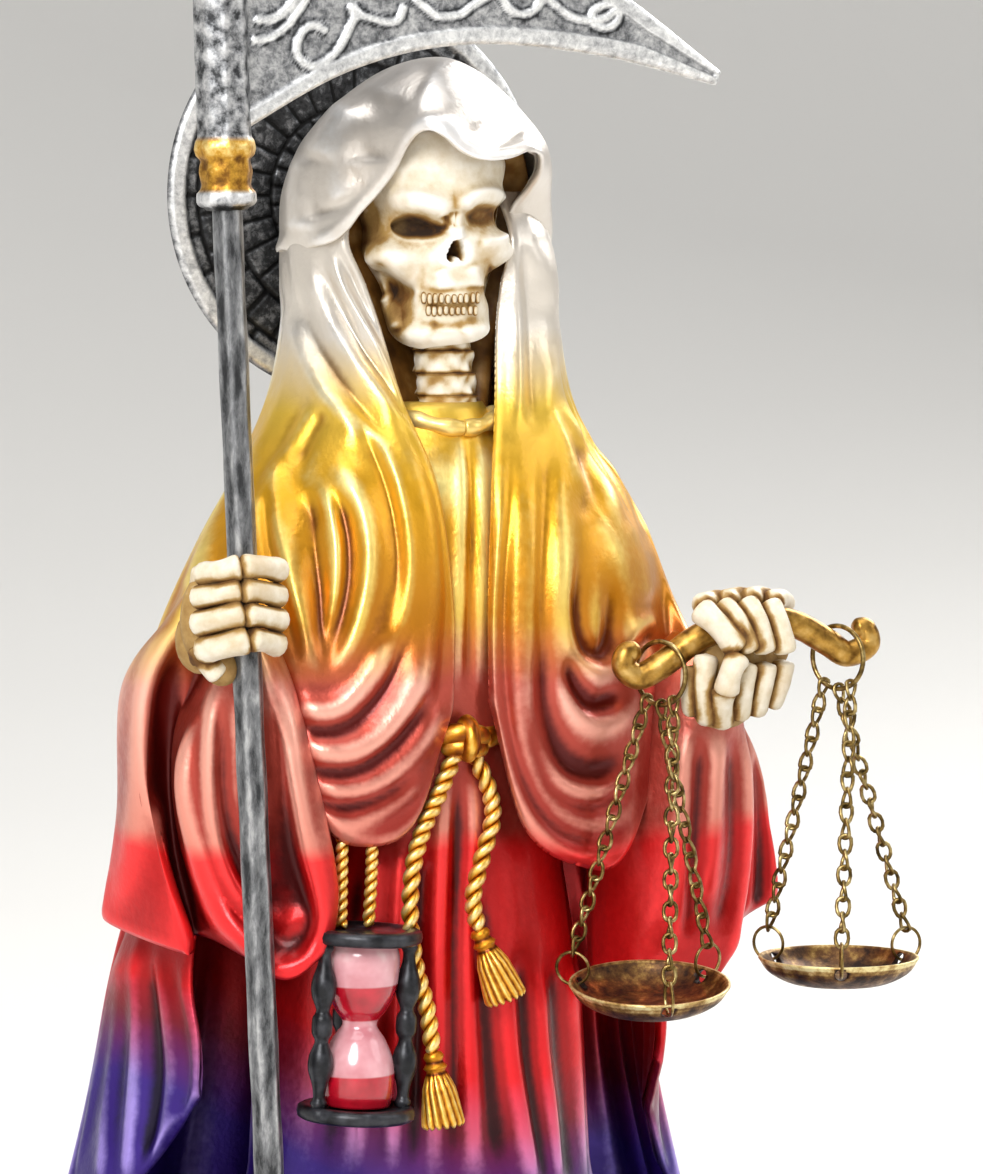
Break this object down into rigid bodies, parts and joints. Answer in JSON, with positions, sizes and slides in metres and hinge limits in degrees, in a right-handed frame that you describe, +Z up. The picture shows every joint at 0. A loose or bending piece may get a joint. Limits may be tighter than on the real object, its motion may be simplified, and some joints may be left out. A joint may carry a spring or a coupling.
{
  "type": "santa muerte figure",
  "caption": "Robed skeleton figure on an oval base, with a long scythe, a round halo and a balance with hanging pans; cast and painted, metal chains.",
  "frame": {"origin": "on the underside of the base, below the middle of the figure", "axes": "+Z up, the figure faces -Y, +X is the figure's left"},
  "size_m": [0.1598, 0.1281, 0.2921],
  "materials": {
    "painted_resin": "metallic paint that runs from pearl white over gold, copper rose and red to violet; ivory bones with an ochre wash",
    "black_silver_paint": "black, dry-brushed with silver, with a worn gold band on the socket",
    "bronze_paint": "old bronze gold paint with dark recesses",
    "antique_brass": "darkened brass, bright where it is worn"
  },
  "bodies": {
    "root": {"figure": "painted_resin", "scythe": "black_silver_paint", "halo": "black_silver_paint", "balance_beam": "bronze_paint", "pan_ring_inner_1": "antique_brass", "chain_inner_1": "antique_brass", "pan_ring_inner_2": "antique_brass", "chain_inner_2": "antique_brass", "pan_ring_inner_3": "antique_brass", "chain_inner_3": "antique_brass", "pan_inner": "antique_brass", "hanger_ring_inner": "antique_brass", "pan_ring_outer_1": "antique_brass", "chain_outer_1": "antique_brass", "pan_ring_outer_2": "antique_brass", "chain_outer_2": "antique_brass", "pan_ring_outer_3": "antique_brass", "chain_outer_3": "antique_brass", "pan_outer": "antique_brass", "hanger_ring_outer": "antique_brass"}
  },
  "joints": []
}
